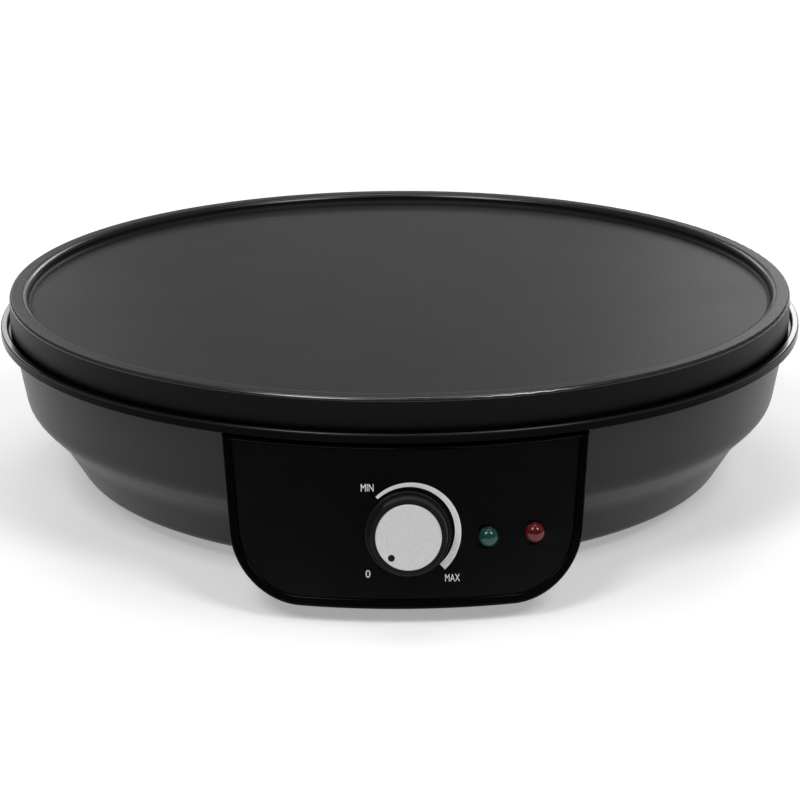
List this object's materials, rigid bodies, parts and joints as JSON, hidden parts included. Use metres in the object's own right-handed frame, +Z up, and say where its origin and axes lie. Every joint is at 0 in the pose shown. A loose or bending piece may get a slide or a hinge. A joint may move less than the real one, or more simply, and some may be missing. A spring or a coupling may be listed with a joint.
{
  "type": "crepe maker",
  "caption": "Electric crepe maker with a round non-stick baking plate, bowl-shaped black housing, gloss control panel, turning thermostat knob and pilot lamps.",
  "frame": {"origin": "on the table, in the middle of the footprint from the lip's back to the knob's front; the round plate's axis is 9.3 mm behind it", "axes": "+Z up, the control panel faces -Y, +X on the user's right"},
  "size_m": [0.3076, 0.3261, 0.0745],
  "materials": {
    "plate_coating": "non-stick coating, satin",
    "housing_plastic": "satin moulded plastic",
    "gloss_black": "polished moulded plastic",
    "fascia_print": "gloss insert with printed marks",
    "knob_black": "semi-gloss moulded plastic",
    "knob_silver": "fine satin",
    "lens_green": "tinted clear plastic",
    "lens_red": "tinted clear plastic",
    "neon_glass": "clear",
    "element_steel": "heat-darkened sheath",
    "sheet_steel": "bright sheet",
    "zinc_steel": "zinc plated",
    "spindle_brass": "turned",
    "ceramic_white": "fired",
    "rubber_black": "moulded",
    "block_white": "moulded nylon",
    "sleeve_white": "woven sleeve",
    "lead_brown": "insulation",
    "lead_blue": "insulation",
    "lead_green": "insulation",
    "lead_black": "insulation",
    "lead_white": "heat-resistant insulation"
  },
  "bodies": {
    "housing": {"adjusting_blade": "spindle_brass", "baking_plate": "plate_coating", "base_housing": "housing_plastic", "bimetal_strip": "zinc_steel", "contact_blade": "spindle_brass", "control_housing": "gloss_black", "control_housing_screws": "zinc_steel", "cord_clamp": "housing_plastic", "cord_clamp_screws": "zinc_steel", "cord_gland": "rubber_black", "crimp_terminals": "zinc_steel", "earth_lead": "lead_green", "earth_screw": "zinc_steel", "earth_tab": "spindle_brass", "element_clamp_screws": "zinc_steel", "element_clamps": "sheet_steel", "element_pins": "zinc_steel", "element_seals": "ceramic_white", "fascia_panel": "fascia_print", "fuse_clip": "sheet_steel", "fuse_clip_nut": "zinc_steel", "fuse_clip_screw": "zinc_steel", "fuse_lead": "lead_blue", "fuse_sleeve": "sleeve_white", "heat_reflector": "sheet_steel", "heat_washers": "ceramic_white", "heating_element": "element_steel", "lamp_caps": "housing_plastic", "lamp_leads": "lead_white", "lamp_lens_green": "lens_green", "lamp_lens_red": "lens_red", "live_lead": "lead_brown", "neon_lamps": "neon_glass", "neutral_lead": "lead_blue", "plate_screws": "zinc_steel", "rubber_foot_1": "rubber_black", "rubber_foot_2": "rubber_black", "rubber_foot_3": "rubber_black", "rubber_foot_4": "rubber_black", "switched_lead": "lead_black", "terminal_block": "block_white", "terminal_block_screws": "zinc_steel", "terminal_screws": "zinc_steel", "thermal_fuse": "spindle_brass", "thermostat_bracket": "sheet_steel", "thermostat_bracket_screws": "zinc_steel", "thermostat_bush": "spindle_brass", "thermostat_bush_nut": "spindle_brass", "thermostat_contacts": "spindle_brass", "thermostat_insulators": "ceramic_white", "thermostat_rivet": "zinc_steel", "transfer_pin": "ceramic_white"},
    "knob": {"control_knob": "knob_black", "knob_cap": "knob_silver", "knob_spring": "zinc_steel", "thermostat_spindle": "zinc_steel", "spindle_clip": "zinc_steel"},
    "plunger": {"adjusting_plunger": "ceramic_white"}
  },
  "joints": [
    {"name": "knob_turn", "type": "hinge", "parent": "housing", "child": "knob", "pos_m": [0.0004, -0.15072, 0.0309], "axis": [0, 0.9763, -0.2164], "range_deg": [0, 276]},
    {"name": "plunger_slide", "type": "slide", "parent": "housing", "child": "plunger", "axis": [0, 0.9763, -0.2164], "range_m": [0, 0.0008]}
  ],
  "couplings": [
    {"joint": "plunger_slide", "follows": "knob_turn", "m_per_rad": 0.00016591}
  ]
}
